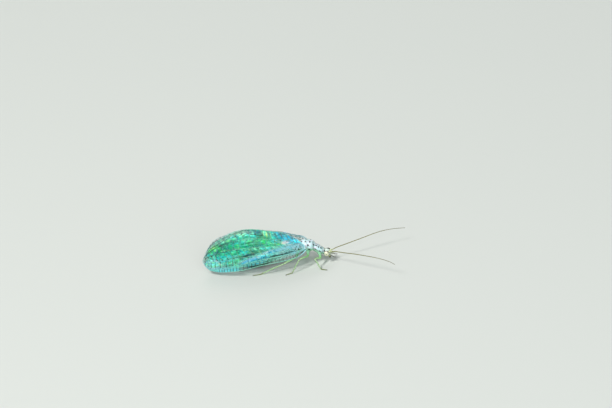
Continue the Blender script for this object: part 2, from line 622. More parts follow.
def add_stigma(shape, side):
    """The thicker, opaque patch near the front of the forewing's tip."""
    rows, columns, thick = 24, 5, 0.022
    total = rows * columns
    shares, levels = np.meshgrid(np.linspace(0.745, 0.845, rows), np.linspace(0.06, 0.94, columns),
                                 indexing="ij")
    across = levels * vein_across("fore", "subcosta", shares.ravel()).reshape(shares.shape)
    place, normal = wing_point("fore", shares, across)
    faces = []
    for r in range(rows - 1):
        for a in range(r * columns, r * columns + columns - 1):
            b = a + columns
            faces.append((a, a + 1, b + 1, b))
            faces.append((total + a, total + b, total + b + 1, total + a + 1))
    # Round the rim: along the first row, down the last column, back along the last row, up the first column
    grid = np.arange(total).reshape(rows, columns)
    rim = [int(k) for k in np.concatenate([grid[0], grid[1:, -1], grid[-1, -2::-1], grid[-2:0:-1, 0]])]
    for a, b in zip(rim, rim[1:] + rim[:1]):
        faces.append((b, a, total + a, total + b))
    points = np.concatenate([(place + normal * way).reshape(-1, 3) for way in (thick, -thick)])
    shape.add(mirrored(points, side), turned(faces, side), STIGMA)


# Interference colours from thin to thick film, as seen on a screen.
FILM = np.array(((0.02, 0.64, 0.44), (0.03, 0.72, 0.70), (0.22, 0.84, 0.92), (0.01, 0.60, 0.48),
                 (0.03, 0.68, 0.32), (0.40, 0.86, 0.34), (0.80, 0.90, 0.42), (0.86, 0.66, 0.64),
                 (0.46, 0.62, 0.92), (0.04, 0.72, 0.78)))


def film_colour(phase):
    at = np.mod(phase, 1.0) * len(FILM)
    i = at.astype(int) % len(FILM)
    t = (at - np.floor(at))[:, None]
    t = t * t * (3 - 2 * t)
    return FILM[i] * (1 - t) + FILM[(i + 1) % len(FILM)] * t


def noise_at(points, scale, seed):
    """Smooth noise from -1 to 1 at points in millimetres."""
    lift = Vector((seed * 17.3, seed * 5.1, seed * 9.7))
    return np.array([noise.noise(Vector(p) * scale + lift) for p in points])


def vein_tree(wing):
    """Points along every vein in the wing's plane, for how far a place is from the nearest vein."""
    dense = []
    for shares, across, _, _ in vein_network(wing):
        row = wing_plane(wing, shares, across)
        dense.append(at_places(np.linspace(0, len(row) - 1, 3 * len(row)), np.arange(len(row)), row))
    dense = np.vstack(dense)
    tree = kdtree.KDTree(len(dense))
    for i, (span, chord) in enumerate(dense):
        tree.insert((span, chord, 0), i)
    tree.balance()
    return tree


LENGTHWAYS, CROSSWAYS = 250, 84
FILM_SOLID = {"fore": 0.44, "hind": 0.80}  # how solid each film is, so that both nets of veins show
BAND_SOLID = {"fore": 0.54, "hind": 0.08}  # and over the abdomen
# The line on the wing where the upper edge of the abdomen lies behind it.
BODY_LINE_SPANS = (0.0, 1.0, 2.13, 3.52, 4.91, 6.32, 7.71, 9.0)
BODY_LINE_CHORDS = (0.50, 0.62, 0.60, 0.42, 0.14, -0.22, -0.50, -0.85)
# Colours that the film takes in some places of the wing.
TINTS = {"calm": (0.01, 0.64, 0.54), "base": (0.16, 0.78, 0.92), "gold": (0.82, 0.95, 0.46),
         "tip": (0.04, 0.44, 0.52), "rim": (0.66, 0.92, 0.74), "fleck": (0.72, 1.0, 0.66),
         "stroke": (0.0, 0.13, 0.19), "front": (0.46, 0.92, 1.0), "below": (0.50, 0.92, 0.86),
         "band": (0.82, 0.94, 1.0), "blush": (0.98, 0.90, 0.98), "upper": (0.02, 0.46, 0.56),
         "light": (0.10, 0.74, 1.0)}


def patch(plane, span, length, chord, height):
    """A soft patch on the wing that is 1 in its middle."""
    return bell(plane[:, 0], span, length) * bell(plane[:, 1], chord, height)


def tinted(colour, rows):
    """Colours with each tint of the rows laid on in turn, by name or as a colour."""
    for tint, much in rows:
        colour = mix(colour, TINTS[tint] if isinstance(tint, str) else tint, much)
    return colour


def film_paint(wing, share, across, plane, near, colour, streak, fine, fleck):
    """A film's colours by their place on the wing, and how solid it is there."""
    span, chord = plane.T
    front_edge, hind_edge = (np.interp(span, edge[:, 0], edge[:, 1]) for edge in EDGES["hind"])
    hind_tip = EDGES["hind"][0][-1, 0]
    inside = np.minimum(chord - front_edge, hind_edge - chord)
    covered = smoothstep(-0.05, 0.30, inside) * smoothstep(hind_tip, hind_tip - 0.5, span)
    above = smoothstep(-0.1, 0.4, chord - hind_edge) * smoothstep(9.0, 7.6, span)
    upper_blue = TINTS["upper"] + np.outer(smoothstep(4.5, 2.0, span), (0.02, 0.16, 0.24))
    gold = (patch(plane, 4.75, 0.85, 2.25, 0.62) + 0.7 * patch(plane, 3.7, 0.6, 0.95, 0.26)
            + 0.6 * patch(plane, 9.6, 1.1, -0.9, 0.55))
    gold = gold * (0.66 + 0.34 * np.sin(2 * math.pi * span / 0.46))
    colour = tinted(colour, (("calm", 0.45 - 0.35 * np.clip(streak + 0.3, 0, 1)),
                             ("base", 0.80 * smoothstep(0.36, 0.10, share)),
                             (upper_blue, 0.78 * above * np.clip(0.9 + 0.6 * streak, 0, 1)),
                             ("gold", 0.9 * np.clip(gold * (0.85 + 0.4 * fine), 0, 1))))
    deep, far_margin = patch(plane, 6.6, 1.2, 1.2, 1.3), patch(plane, 8.4, 0.9, 3.3, 0.5)
    colour = colour * ((1 - 0.22 * deep) * (1 - 0.30 * far_margin))[:, None]
    tip = patch(plane, 11.1, 1.1, 2.2, 0.6)
    rim = np.clip(smoothstep(0.13, 0.06, 1 - across) * smoothstep(6.0, 8.0, span)
                  + smoothstep(0.92, 0.97, share), 0, 1)
    # The abdomen shows pale through the film below a line, with a dark stroke above its far half
    over_line = chord - np.interp(span, BODY_LINE_SPANS, BODY_LINE_CHORDS)
    stroke = bell(over_line, 0.45, 0.22) * bell(span, 7.8, 0.9)
    colour = tinted(colour, (("tip", 0.70 * tip), ("rim", 0.50 * rim), ("fleck", 0.36 * fleck * (1 - tip)),
                             ("stroke", 0.90 * stroke)))
    beside_vein = smoothstep(0.10, 0.0, near) * smoothstep(0.05, 0.30, share)
    colour = colour * (1.10 + 0.52 * fine - 0.38 * beside_vein)[:, None]
    near_body = smoothstep(9.6, 8.2, span)
    below = smoothstep(0.14, -0.06, over_line) * near_body
    band = bell(over_line, -0.30, 0.36) * near_body * smoothstep(0.2, 1.4, span)
    front, outer = smoothstep(0.16, 0.10, across), smoothstep(7.5, 9.5, span)
    light = TINTS["light"] + np.outer(fleck, (0.60, 0.22, 0.0))
    light = tinted(light, [("band", 0.75 * smoothstep(4.9, 3.2, span))])
    blush = np.clip(patch(plane, 2.35, 0.62, 0.98, 0.27) * (1.0 + 0.8 * fine), 0, 1)
    colour = tinted(colour, (("front", 0.60 * front * outer), ("below", 0.60 * below), (light, 0.80 * band),
                             ("blush", 0.85 * blush)))
    solid = FILM_SOLID[wing] + 0.06 * streak
    if wing == "fore":
        solid = solid + (0.70 + 0.10 * above - solid) * (1 - covered)
    for much, value in ((rim, 0.24), (front, 0.10 + 0.50 * outer), (below, 0.07), (band, BAND_SOLID[wing]),
                        (blush, 0.50), (stroke, 0.84)):
        solid = solid + (value - solid) * much
    return np.clip(colour, 0, 1), solid


def film_faces():
    """Faces of a film's grid of points, which ends in one point at the wing tip."""
    faces = []
    for r in range(LENGTHWAYS - 2):
        a, b = r * CROSSWAYS, (r + 1) * CROSSWAYS
        faces += [(a + c, a + c + 1, b + c + 1, b + c) for c in range(CROSSWAYS - 1)]
    last, tip = (LENGTHWAYS - 2) * CROSSWAYS, (LENGTHWAYS - 1) * CROSSWAYS
    return faces + [(last + c, last + c + 1, tip) for c in range(CROSSWAYS - 1)]


def membrane_mesh(name, wing, side, tree):
    """The clear sheet of one wing, tinted like a thin film that thickens near its veins."""
    shares = 1 - (1 - np.linspace(0, 1, LENGTHWAYS)) ** 1.15
    share, across = np.meshgrid(shares[:-1], np.linspace(0, 1, CROSSWAYS), indexing="ij")
    share, across = np.append(share.ravel(), 1.0), np.append(across.ravel(), 0.5)
    place, normal = wing_point(wing, share, across)
    plane = wing_plane(wing, share, across)
    near = np.array([tree.find((span, chord, 0))[2] for span, chord in plane])
    flat = np.column_stack([plane * (0.55, 1.0), np.zeros(len(plane))])
    seed = {"fore": 1, "hind": 3}[wing] + (0 if side < 0 else 0.4)
    streak = noise_at(flat * (0.6, 2.6, 1), 1.3, seed + 7)
    broad, fine, rise, fleck = (noise_at(flat, scale, seed + more)
                                for scale, more in ((0.42, 0), (3.1, 11), (1.1, 19), (4.2, 23)))
    phase = 0.12 + 0.46 * broad + 0.30 * streak + 0.16 * fine
    phase = phase + (0.22 + 0.30 * rise) * np.clip(near / 0.35, 0, 1)
    colour, solid = film_paint(wing, share, across, plane, near, film_colour(phase), streak, fine,
                               smoothstep(0.05, 0.35, fleck))
    # Each cell between the veins is a shallow dish, a little deeper or shallower than the next
    dish = smoothstep(0.0, 0.24, near) * (0.010 + 0.022 * fine + 0.010 * streak)
    shape = Shape()
    shape.add(mirrored(place + normal * dish[:, None], side), turned(film_faces(), side), colour)
    return shape.mesh(name, solid)


# Body

def body_frames(places):
    """Centre, up and half sizes of the body at each x."""
    table = curve_table(BODY, places)
    slope = (curve_table(BODY, places + 0.03)[:, 0] - curve_table(BODY, places - 0.03)[:, 0]) / 0.06
    up = unit(np.column_stack([-slope, np.zeros(len(places)), np.ones(len(places))]))
    centre = np.column_stack([places, np.zeros(len(places)), table[:, 0]])
    return centre, up, table[:, 1], table[:, 2]


def relief(x, turn):
    """How far the shell stands out at x and at an angle from the middle of the back, either side."""
    out = np.zeros(np.broadcast(x, turn).shape)
    on_abdomen = smoothstep(-1.7, -2.0, x)
    for ring in RINGS:
        out -= 0.060 * bell(x, ring, 0.055)
        out += 0.028 * bell(x, ring + 0.16, 0.10) * bell(turn, 0.0, 1.6)
    out -= 0.075 * bell(turn, 1.92, 0.17) * on_abdomen * smoothstep(-8.5, -7.9, x)
    out += 0.030 * bell(turn, 2.6, 0.5) * on_abdomen
    # Prothorax: a shield with side flanges and a cross furrow
    shield = smoothstep(1.16, 1.32, x) * (1 - smoothstep(2.14, 2.28, x))
    out += 0.085 * bell(turn, 1.22, 0.20) * shield
    out -= 0.080 * bell(turn, 1.66, 0.24) * shield
    out -= 0.040 * bell(x, 1.66, 0.06) * bell(turn, 0, 1.0)
    out -= 0.028 * bell(turn, 0, 0.10) * shield
    out -= 0.095 * bell(x, 1.16, 0.075)
    out -= 0.050 * bell(x, 2.30, 0.05)
    # Middle thorax: two front lobes, a V-shaped furrow and a small shield behind it
    out += 0.085 * bell(x, 0.72, 0.24) * bell(turn, 0.50, 0.28)
    out -= 0.055 * bell(turn, 0, 0.09) * smoothstep(0.25, 0.40, x) * (1 - smoothstep(0.95, 1.1, x))
    out -= 0.060 * bell(x - 0.10 - 0.40 * turn, 0, 0.06) * (1 - smoothstep(0.7, 1.0, turn))
    out += 0.075 * bell(x, -0.20, 0.17) * bell(turn, 0, 0.42)
    out -= 0.085 * bell(x, -0.58, 0.075)
    # Hind thorax
    out += 0.050 * bell(x, -0.86, 0.15) * bell(turn, 0.45, 0.28)
    out -= 0.045 * bell(x + 1.16 - 0.35 * turn, 0, 0.05) * (1 - smoothstep(0.6, 0.9, turn))
    out += 0.050 * bell(x, -1.38, 0.13) * bell(turn, 0, 0.4)
    out -= 0.060 * bell(x, -1.70, 0.07)
    # Slanting seams on the flanks of both wing-bearing segments
    for middle in (0.40, -1.02):
        flank = smoothstep(0.95, 1.2, turn) * (1 - smoothstep(2.4, 2.7, turn))
        out -= 0.055 * bell(x - middle - 0.30 * (turn - 1.7), 0, 0.045) * flank
        out += 0.030 * bell(x - middle - 0.28, 0, 0.16) * bell(turn, 1.8, 0.4)
    out -= 0.030 * bell(turn, 1.30, 0.07) * smoothstep(-1.6, -1.4, x) * (1 - smoothstep(0.9, 1.0, x))
    return out


def add_body(shape):
    rows, sides = 470, 112
    places = np.linspace(2.40, BODY_TIP, rows)
    centre, up, half_width, half_height = body_frames(places)
    angle = 2 * math.pi * (np.arange(sides) + 0.5) / sides
    turn = np.abs(np.mod(angle + math.pi, 2 * math.pi) - math.pi)
    out = relief(places[:, None], turn[None, :])
    end = np.sqrt(np.clip((places - BODY_TIP) / 0.30, 0, 1))[:, None]
    wide = (half_width[:, None] + out) * np.maximum(end, 0.05)
    high = (half_height[:, None] + out) * np.maximum(end, 0.05)
    side = np.array((0, -1.0, 0))
    points = (centre[:, None] + side * (wide * np.sin(angle))[..., None]
              + up[:, None] * (high * np.cos(angle))[..., None])
    points[..., 2] = np.maximum(points[..., 2], 0.012)
    shape.add(points.reshape(-1, 3), turned(tube_faces(rows, sides), 1), (1, 1, 1))


def head_axes():
    turn = Matrix.Rotation(HEAD_YAW, 3, "Z") @ Matrix.Rotation(HEAD_PITCH, 3, "Y")
    return [np.array(turn @ Vector(v)) for v in ((1, 0, 0), (0, 1, 0), (0, 0, 1))]


FRONT, LEFT, CROWN = head_axes()


def head_point(up, side, forward):
    """Places in the head's own axes, from its centre."""
    up, side, forward = (np.asarray(v, float)[..., None] for v in (up, side, forward))
    return np.array(HEAD_CENTRE) + CROWN * up + LEFT * side + FRONT * forward


def add_head(shape):
    rows, sides = 90, 84
    level = np.linspace(HEAD[0][0], HEAD[-1][0], rows)
    table = curve_table(HEAD, level)
    forward, half_width, half_depth = np.maximum(table, (-1, 0.02, 0.02)).T
    angle = 2 * math.pi * np.arange(sides) / sides
    facing, sideways = np.cos(angle)[None, :], np.sin(angle)[None, :]
    up = level[:, None]
    out = np.zeros((rows, sides))
    face = smoothstep(0.3, 0.8, facing)
    for side in (-1, 1):
        out -= 0.055 * bell(up, 0.17, 0.10) * bell(sideways, side * 0.40, 0.24) * face
        out += 0.035 * bell(up, 0.30, 0.10) * bell(sideways, side * 0.35, 0.3)
    out -= 0.030 * bell(up, -0.20, 0.035) * face
    out -= 0.030 * bell(up, -0.44, 0.030) * face
    out += 0.030 * bell(up, -0.33, 0.08) * face
    out -= 0.020 * bell(sideways, 0, 0.12) * bell(up, 0.40, 0.12)
    side = (half_width[:, None] + out) * sideways
    fore = forward[:, None] + (half_depth[:, None] + out) * facing
    points = head_point(np.broadcast_to(up, side.shape), side, fore)
    shape.add(points.reshape(-1, 3), turned(tube_faces(rows, sides), 1), (1, 1, 1))
    # Neck
    path = np.array([head_point(-0.02, 0, -0.05), (2.50, 0.0, 1.46), (2.20, 0.0, 1.62)])
    add_tube(shape, even_line(path, 24), 0.30 + 0.018 * np.cos(np.linspace(0, 8 * math.pi, 24)), 36)


def coxa_line(name):
    """From inside the body to the hip, on the leg's own side."""
    x, angle, hip = LEGS[name][:3]
    height, half_width, half_height = curve_value(BODY, x)
    lean = math.radians(angle)
    root = np.array((x, -half_width * 0.70 * math.sin(lean), height - half_height * 0.80 * math.cos(lean)))
    side = SIDES[name.split("_")[1]]
    line = np.array([root, 0.55 * root + 0.45 * np.array(hip) + (0, 0, 0.03), hip])
    return mirrored(line, side)


def add_coxae(shape):
    radii = np.interp(np.linspace(0, 1, 20), (0, 0.25, 0.5, 0.9, 1), (0.30, 0.235, 0.20, 0.155, 0.10))
    for name in LEGS:
        add_tube(shape, even_line(coxa_line(name), 20), radii, 28)


def add_wing_roots(shape):
    """Small fleshy hinges from the thorax to the bases of the wings."""
    for side in SIDES.values():
        for wing, root in (("fore", (0.24, -0.62, 2.86)), ("hind", (-1.02, -0.46, 2.66))):
            end, _ = wing_point(wing, 0.014, 0.48)
            lump, faces = ball(end, np.eye(3), (0.15, 0.10, 0.13), 20, 28)
            shape.add(mirrored(lump, side), turned(faces, side), (1, 1, 1))
            for across, thick in ((0.12, 0.10), (0.42, 0.12), (0.80, 0.08)):
                end, _ = wing_point(wing, 0.012, across)
                start = np.array(root) + np.array((0.35 * (0.45 - across), 0, 0.05))
                line = even_line(np.array([start, (start + end) / 2 + (0, 0, 0.05), end]), 14)
                radii = np.interp(np.linspace(0, 1, 14), (0, 0.5, 1), (thick * 1.7, thick, thick * 0.55))
                shape.add(mirrored(tube(line, radii, 16), side), turned(tube_faces(14, 16), side), (1, 1, 1))


def fused(shape, name, voxel):
    """One closed skin from parts that overlap."""
    body = place_object(name, shape.mesh(name))
    remesh = body.modifiers.new("fuse", "REMESH")
    remesh.mode = "VOXEL"
    remesh.voxel_size = voxel
    remesh.adaptivity = 0
    soften = body.modifiers.new("soften", "SMOOTH")
    soften.factor, soften.iterations = 0.5, 3
    graph = bpy.context.evaluated_depsgraph_get()
    mesh = bpy.data.meshes.new_from_object(body.evaluated_get(graph))
    bpy.data.objects.remove(body)
    mesh.name = name
    return mesh


CREAM = np.array((0.92, 0.94, 0.84))
WHITE_BLUE = np.array((0.80, 0.95, 0.97))
LILAC = np.array((0.93, 0.86, 0.93))
BLUE_GREEN = np.array((0.58, 0.85, 0.68))
TEAL = np.array((0.06, 0.66, 0.88))
SKY = np.array((0.86, 0.98, 1.00))
BLACK = np.array((0.030, 0.024, 0.032))
DUSK = np.array((0.30, 0.20, 0.25))
RING_GREEN = np.array((0.30, 0.50, 0.46))
STRAW = np.array((0.88, 0.88, 0.62))
HIP_GREEN = np.array((0.56, 0.80, 0.54))
# Black spots of the thorax: (x, angle from the middle of the back, radius), on both sides.
SPOTS = ((2.12, 0.42, 0.085), (1.84, 0.50, 0.075), (1.52, 0.42, 0.085), (1.25, 0.62, 0.07),
         (1.95, 1.45, 0.10), (1.42, 1.50, 0.09), (0.78, 0.40, 0.10), (0.55, 1.05, 0.10), (0.18, 0.45, 0.085),
         (-0.12, 1.10, 0.10), (-0.34, 0.36, 0.085), (0.62, 1.85, 0.12), (0.05, 1.75, 0.13),
         (-0.90, 0.42, 0.085), (-1.12, 1.10, 0.09), (-1.42, 0.40, 0.07), (-0.85, 1.80, 0.12),
         (-1.35, 1.75, 0.10))
# Black marks of the head: (up, sideways, forward, radius), on both sides.
MARKS = ((0.44, 0.12, -0.30, 0.14), (0.42, 0.36, -0.20, 0.14), (0.16, 0.0, 0.42, 0.10),
         (0.20, 0.30, 0.30, 0.09), (-0.12, 0.14, 0.42, 0.08), (-0.20, 0.36, 0.26, 0.12),
         (-0.36, 0.10, 0.36, 0.08), (-0.60, 0.0, 0.20, 0.12), (-0.42, 0.30, 0.05, 0.10),
         (-0.25, 0.0, -0.36, 0.24), (0.0, 0.30, -0.36, 0.12))


def vectors(items, key):
    """Three numbers of each item."""
    flat = np.empty(len(items) * 3)
    items.foreach_get(key, flat)
    return flat.reshape(-1, 3)


def abdomen_paint(x, turn, mottle, edge):
    """Teal above with pale hind edges on its rings, black below."""
    back = mix(TEAL, SKY, 0.36 + 0.60 * smoothstep(-5.8, -3.4, x) + 0.6 * mottle)
    dusk = mix(BLACK, DUSK, 0.20 + 0.5 * mottle)
    for ring in RINGS:
        saddle = bell(x, ring - 0.20, 0.13) * bell(turn, 0.62 + edge, 0.24)
        back = mix(back, SKY, 0.75 * bell(x, ring + 0.07, 0.06))
        back = mix(back, TEAL * 0.45, 0.7 * bell(x, ring - 0.02, 0.03))
        back = mix(back, BLACK * 2, 0.75 * smoothstep(0.35, 0.7, saddle))
        dusk = mix(dusk, RING_GREEN, 0.7 * bell(x, ring, 0.05))
    back = mix(back, LILAC, 0.5 * smoothstep(-4.6, -3.4, x) * smoothstep(0.0, 0.5, mottle))
    back = mix(back, TEAL * 0.8, 0.6 * smoothstep(-6.8, -8.2, x))
    border = 1.98 - 0.80 * bell(x, -4.6, 1.0) + edge
    below = smoothstep(border - 0.08, border + 0.08, turn)
    return mix(back, dusk, below * smoothstep(-8.3, -7.9, x))


def head_paint(points, mottle, fine):
    """Cream with black marks, and how much each point belongs to the head."""
    up, out, fore = ((points - np.array(HEAD_CENTRE)) @ np.array((CROWN, LEFT, FRONT)).T).T
    face = mix(CREAM, WHITE_BLUE, 0.45 + 0.5 * mottle)
    face = mix(face, STRAW, 0.45 * smoothstep(0.0, -0.4, up))
    for high, wide, forward, radius in MARKS:
        for hand in ((1, -1) if wide else (1,)):
            away = np.sqrt((up - high) ** 2 + (out - hand * wide) ** 2 + (fore - forward) ** 2)
            face = mix(face, BLACK, smoothstep(radius * 1.15, radius * 0.75, away + 0.2 * radius * fine))
    return face, smoothstep(2.36, 2.46, points[:, 0] + 0.25 * (up < -0.1)) * (fore > -0.42)


def paint_skin(mesh):
    """The insect's markings at every point of the skin."""
    points = vectors(mesh.vertices, "co")
    x, side = points[:, 0], np.abs(points[:, 1])
    height, half_width, half_height = at_places(x, BODY_RISING[:, 0], BODY_RISING[:, 1:]).T
    turn = np.arctan2(side / half_width, (points[:, 2] - height) / half_height)
    mottle, fine = noise_at(points, 3.0, 2), noise_at(points, 11.0, 5)
    # Thorax: pale above, greener on the flanks
    pale = mix(WHITE_BLUE, LILAC, 0.16 + 0.9 * mottle)
    colour = mix(BLUE_GREEN, pale, 0.95 * smoothstep(2.05, 1.35, turn) + 0.10 * mottle)
    colour = mix(colour, BLUE_GREEN * 0.85, 0.5 * smoothstep(2.1, 2.8, turn))
    colour = mix(colour, abdomen_paint(x, turn, mottle, 0.10 * fine), smoothstep(-1.55, -1.95, x))
    level = (half_width + half_height) / 2
    for at, angle, radius in SPOTS:
        away = np.hypot(x - at, (turn - angle) * level)
        colour = mix(colour, BLACK, smoothstep(radius * 1.30, radius * 0.95, away + 0.25 * radius * fine))
    # Furrows between the plates hold a little shade
    groove = np.clip(-relief(x, turn) / 0.06, 0, 1) * smoothstep(2.5, 2.3, x)
    colour = mix(colour, colour * 0.62, 0.55 * groove)
    colour = mix(colour, *head_paint(points, mottle, fine))
    # Outer ends of the coxae, and the wing hinges
    low = smoothstep(0.20, 0.34, side - half_width * np.clip(np.sin(turn), 0, 1)) * (turn > 1.7)
    colour = mix(colour, HIP_GREEN, low)
    put_paint(mesh, np.clip(colour * (1 + 0.08 * fine[:, None]), 0, 1))


# Materials

def set_inputs(node, **values):
    """Sets inputs by name, with underscores for spaces, to constants or from other nodes' outputs."""
    for name, value in values.items():
        socket = node.inputs[name.replace("_", " ")]
        if isinstance(value, bpy.types.NodeSocket):
            node.id_data.links.new(value, socket)
        else:
            socket.default_value = value


def new_material(name, **values):
    material = bpy.data.materials.new(name)
    material.use_nodes = True
    shader = material.node_tree.nodes["Principled BSDF"]
    set_inputs(shader, **values)
    return material, shader


def add_node(shader, kind, **values):
    """A node beside the shader."""
    made = shader.id_data.nodes.new("ShaderNode" + kind)
    set_inputs(made, **values)
    return made


def add_paint(shader):
    """The piece's own colours, and in Alpha how solid it is."""
    paint = add_node(shader, "VertexColor")
    paint.layer_name = "paint"
    return paint


def add_grain(shader, scale, detail=2.0):
    """Noise that stays where it is on the piece."""
    place = add_node(shader, "TexCoord").outputs["Object"]
    return add_node(shader, "TexNoise", Vector=place, Scale=scale, Detail=detail).outputs["Fac"]


def add_bump(shader, height, distance, strength=1.0):
    """A bump on top of those that the shader has. The distance is in metres."""
    bump = add_node(shader, "Bump", Height=height, Distance=distance, Strength=strength)
    for before in shader.inputs["Normal"].links:
        set_inputs(bump, Normal=before.from_socket)
    set_inputs(shader, Normal=bump.outputs["Normal"])
    return bump


def painted(name, roughness, specular, speckle, speckle_scale, bumps):
    """A shell whose colour is its paint, with fine speckle and bumps. bumps are (scale, height in metres)."""
    material, shader = new_material(name, Specular_IOR_Level=specular)
    level = add_node(shader, "MapRange", Value=add_grain(shader, speckle_scale, 4.0),
                     From_Min=0.3, From_Max=0.7, To_Min=1 - speckle, To_Max=1 + speckle)
    scaled = add_node(shader, "VectorMath")
    scaled.operation = "SCALE"
    set_inputs(scaled, Vector=add_paint(shader).outputs["Color"], Scale=level.outputs["Result"])
    spread = add_node(shader, "MapRange", Value=add_grain(shader, 2600.0),
                      To_Min=roughness - 0.1, To_Max=roughness + 0.1)
    set_inputs(shader, Base_Color=scaled.outputs["Vector"], Roughness=spread.outputs["Result"])
    for scale, height in bumps:
        add_bump(shader, add_grain(shader, scale, 3.0), height)
    return material


def membrane_material():
    """A clear film whose paint says how solid it is."""
    material, shader = new_material("wing_membrane", Roughness=0.32, Specular_IOR_Level=0.36,
                                    Thin_Film_Thickness=420.0, Thin_Film_IOR=1.6)
    paint = add_paint(shader)
    set_inputs(shader, Base_Color=paint.outputs["Color"], Alpha=paint.outputs["Alpha"])
    add_bump(shader, add_grain(shader, 2200.0), 0.00002)
    return material


def eye_material():
    """A shiny shell of fine facets."""
    material, shader = new_material("eye_facets", Metallic=0.30, Roughness=0.30, Coat_Weight=0.6)
    set_inputs(shader, Base_Color=add_paint(shader).outputs["Color"])
    place = add_node(shader, "TexCoord")
    cells = add_node(shader, "TexVoronoi", Vector=place.outputs["Object"], Scale=42000.0, Randomness=0.25)
    add_bump(shader, cells.outputs["Distance"], 0.000006, 0.8).invert = True
    return material


# Small parts

def ball(centre, axes, radii, rows, sides):
    """Points and faces of an ellipsoid with its poles on the first axis."""
    lift = np.linspace(0.5 * math.pi, -0.5 * math.pi, rows + 2)[1:-1]
    angle = 2 * math.pi * np.arange(sides) / sides
    pole, a, b = (np.array(v) for v in axes)
    ring = (np.sin(lift)[:, None, None] * pole * radii[0]
            + np.cos(lift)[:, None, None] * (np.cos(angle)[None, :, None] * a * radii[1]
                                             + np.sin(angle)[None, :, None] * b * radii[2]))
    return (np.array(centre) + ring).reshape(-1, 3), tube_faces(rows, sides)


EYE_CREAM = np.array((0.94, 0.93, 0.80))
EYE_GREEN = np.array((0.78, 0.90, 0.80))
EYE_ROSE = np.array((0.92, 0.84, 0.82))
EYE_SPOT = np.array((0.16, 0.12, 0.07))
EYE_BLOOM = np.array((0.50, 0.46, 0.26))
EYE_RIM = np.array((0.10, 0.10, 0.07))


def make_eye(hand, side, material):
    """A compound eye that fills the side of the head."""
    axes = (LEFT * side, CROWN, FRONT)
    centre = head_point(0.07, side * 0.47, 0.03)
    points, faces = ball(centre, axes, (0.36, 0.37, 0.335), 60, 84)
    direction = unit((points - centre) @ np.array(axes).T)
    outer, high, ahead = direction.T
    colour = mix(EYE_CREAM, EYE_GREEN, 0.20 + 0.20 * np.sin(14 * high + 3 * ahead))
    colour = mix(colour, EYE_ROSE, 0.40 * smoothstep(0.2, 1.0, high))
    spot = unit(np.array((1.0, 0.05, 0.12)))
    away = np.arccos(np.clip(direction @ spot, -1, 1))
    colour = mix(colour, EYE_SPOT, 0.7 * smoothstep(0.32, 0.02, away))
    for angle in np.arange(6) * math.pi / 3:
        small = unit(spot + 0.62 * np.array((0, math.cos(angle), math.sin(angle))))
        away = np.arccos(np.clip(direction @ small, -1, 1))
        colour = mix(colour, EYE_BLOOM, 0.16 * smoothstep(0.24, 0.02, away))
    shape = Shape()
    shape.add(points, faces, mix(colour, EYE_RIM, smoothstep(0.17, 0.06, outer)))
    shape.piece(f"compound_eye_{hand}", material, "eye", [f"eye_{hand}"])


def outward(mesh):
    """Turns every face of a closed mesh to the outside."""
    work = bmesh.new()
    work.from_mesh(mesh)
    bmesh.ops.recalc_face_normals(work, faces=work.faces)
    work.to_mesh(mesh)
    work.free()
    return mesh


FEELER = np.array((0.50, 0.50, 0.26))
FEELER_TIP = np.array((0.30, 0.26, 0.14))
SCAPE = np.array((0.84, 0.88, 0.70))
SCAPE_END, PEDICEL_END, RING_STEP = 0.34, 0.47, 0.125


def make_antenna(hand, side, material, coat):
    """Scape, pedicel and a thread of about ninety short rings."""
    path = np.array(ANTENNA[hand])
    socket = head_point(0.17, side * 0.155, 0.30)
    bend = 0.5 * socket + 0.5 * path[0] + (0, 0, -0.03)
    line = even_line(np.vstack([socket, bend, path]), 1200)
    length = gone_along(line)
    total = length[-1]
    phase = np.mod((length - PEDICEL_END) / RING_STEP, 1.0)

    def seams(width):
        return np.where(length > PEDICEL_END + 0.03, bell(phase, 0, width) + bell(phase, 1, width), 0)

    radii = np.interp(length, (0, 0.04, 0.12, 0.26, 0.33, SCAPE_END, 0.37, 0.43, PEDICEL_END, 0.50,
                               total * 0.5, total),
                      (0.08, 0.115, 0.145, 0.145, 0.12, 0.07, 0.088, 0.088, 0.055, 0.058, 0.048, 0.026))
    radii = radii * (1 - 0.11 * seams(0.11))
    colour = mix(FEELER, FEELER * 0.45, 0.45 * seams(0.10))
    colour = mix(colour, FEELER_TIP, 0.5 * smoothstep(total * 0.55, total, length))
    colour = mix(colour, SCAPE, smoothstep(PEDICEL_END + 0.3, SCAPE_END, length))
    colour = mix(colour, BLACK * 2, 0.85 * bell(length, SCAPE_END + 0.02, 0.03))
    shape = Shape()
    add_tube(shape, line, radii, 10, colour)
    coat.on_tube(line[60:], radii[60:], 900, 0.050, 1.6, (0.1, 0.3 if side < 0 else 0.7))
    shape.piece(f"feeler_{hand}", material, "feeler", [f"antenna_{hand}"])


LEG_GREEN = np.array((0.60, 0.84, 0.56))
LEG_PALE = np.array((0.74, 0.88, 0.66))
FOOT_GREEN = np.array((0.52, 0.60, 0.34))
FOOT_BROWN = np.array((0.40, 0.42, 0.22))
TOE_HEIGHT = 0.045
FEMUR_RINGS, TIBIA_RINGS, FOOT_RINGS = 40, 44, 120
FOOT_JOINTS = (0.36, 0.55, 0.70, 0.83)
# Points of a claw from the toe: (ahead, sideways, up).
CLAW = ((-0.02, 0.015, 0), (0.06, 0.045, 0.012), (0.115, 0.05, -0.032))


